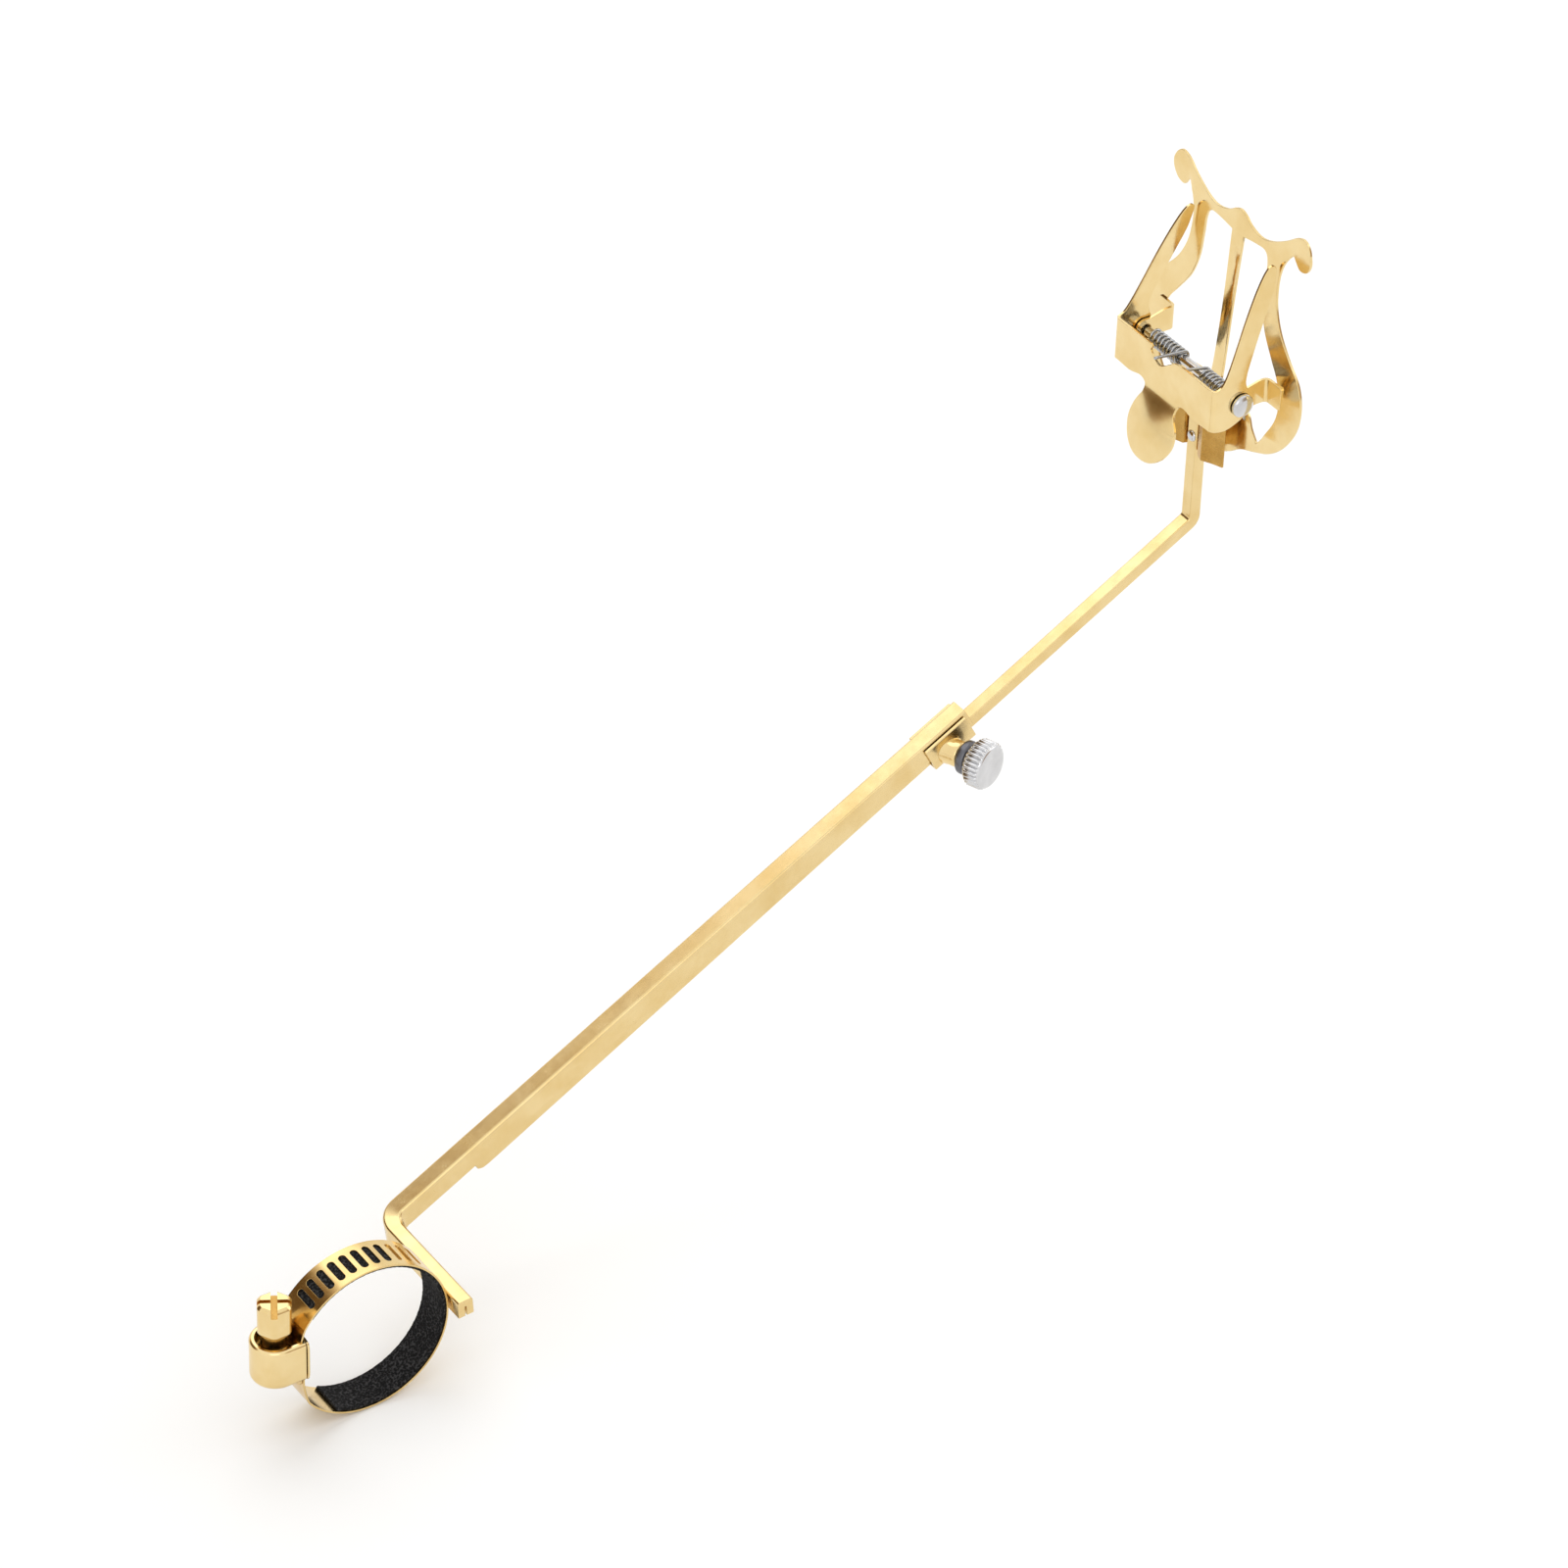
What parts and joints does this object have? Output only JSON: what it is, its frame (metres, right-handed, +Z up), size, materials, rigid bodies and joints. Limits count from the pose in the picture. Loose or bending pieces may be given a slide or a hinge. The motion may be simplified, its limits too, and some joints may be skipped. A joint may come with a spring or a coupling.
{
  "type": "clamp-on marching music lyre",
  "caption": "Gold-plated lyre clip for sheet music on a telescopic arm that clamps to an instrument tube with a foam-lined worm-drive band.",
  "frame": {"origin": "middle of the clamp's seat, the flat face under the worm housing that bears on the tube. The ring's centre is 17.1 mm along +Y from it and 1.6 mm below", "axes": "+X along the ring's axis towards the free end of the tail bar and the locking screw's side; +Y to the rear, the way the arm leans out; +Z up, the way the lyre stands"},
  "size_m": [0.0677, 0.2891, 0.235],
  "materials": {
    "pale_gold_plate": "bright gold plating",
    "chrome": "bright nickel or chrome plate",
    "dark_washer": "darkened steel",
    "black_foam": "matt closed-cell foam"
  },
  "bodies": {
    "clamp_arm": {"clamp_band": "pale_gold_plate", "foam_lining": "black_foam", "worm_housing": "pale_gold_plate", "housing_saddle": "pale_gold_plate", "outer_channel": "pale_gold_plate", "clamp_collar": "pale_gold_plate", "threaded_boss": "pale_gold_plate"},
    "worm": {"worm_screw": "pale_gold_plate"},
    "washer": {"screw_washer": "dark_washer"},
    "locking_screw": {"thumb_screw": "chrome"},
    "rod_and_lyre": {"sliding_rod": "pale_gold_plate", "base_bracket": "pale_gold_plate", "stem_rivet_lower": "chrome", "stem_rivet_upper": "chrome", "rear_lyre": "pale_gold_plate", "hinge_pin": "chrome", "pin_end_cap": "chrome", "left_spring": "chrome", "right_spring": "chrome"},
    "clip": {"front_clip": "pale_gold_plate"}
  },
  "joints": [
    {"name": "worm_turn", "type": "hinge", "parent": "clamp_arm", "child": "worm", "pos_m": [0, -0.0059, -0.0016], "axis": [0, 0, 1], "continuous": true},
    {"name": "screw_travel", "type": "slide", "parent": "clamp_arm", "child": "washer", "axis": [0.9416, 0.3348, 0.0361], "range_m": [0, 0.0021]},
    {"name": "screw_turn", "type": "hinge", "parent": "washer", "child": "locking_screw", "pos_m": [-0.027, 0.1956, 0.08257], "axis": [-0.9416, -0.3348, -0.0361], "range_deg": [0, 1080]},
    {"name": "rod_slide", "type": "slide", "parent": "clamp_arm", "child": "rod_and_lyre", "axis": [0, 0.8696, 0.4938], "range_m": [-0.055, 0.11]},
    {"name": "clip_open", "type": "hinge", "parent": "rod_and_lyre", "child": "clip", "pos_m": [-0.027, 0.2644, 0.1687], "axis": [1, 0, 0], "range_deg": [0, 27]}
  ],
  "couplings": [
    {"joint": "screw_travel", "follows": "screw_turn", "m_per_rad": 0.00011141}
  ]
}
